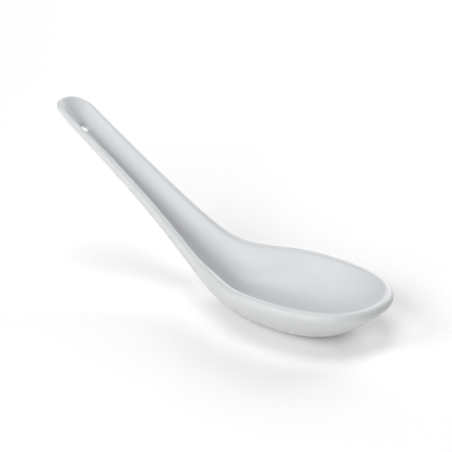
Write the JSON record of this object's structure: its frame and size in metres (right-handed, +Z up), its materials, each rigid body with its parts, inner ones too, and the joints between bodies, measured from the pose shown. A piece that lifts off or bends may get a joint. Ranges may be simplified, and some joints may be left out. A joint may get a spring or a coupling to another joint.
{
  "type": "soup spoon",
  "caption": "Glazed porcelain soup spoon with an oval flat-footed bowl and a channelled handle that rises to a round end with a hanging hole.",
  "frame": {"origin": "on the table, under the middle of the bowl's flat foot", "axes": "+X along the spoon to the bowl's tip, +Z up from the table, Y across; the spoon is the same on both sides of Y = 0"},
  "size_m": [0.1359, 0.046, 0.0564],
  "materials": {
    "biscuit_porcelain": "matte",
    "white_glaze": "gloss"
  },
  "bodies": {
    "root": {"porcelain_body": "biscuit_porcelain", "glaze_coat": "white_glaze"}
  },
  "joints": []
}
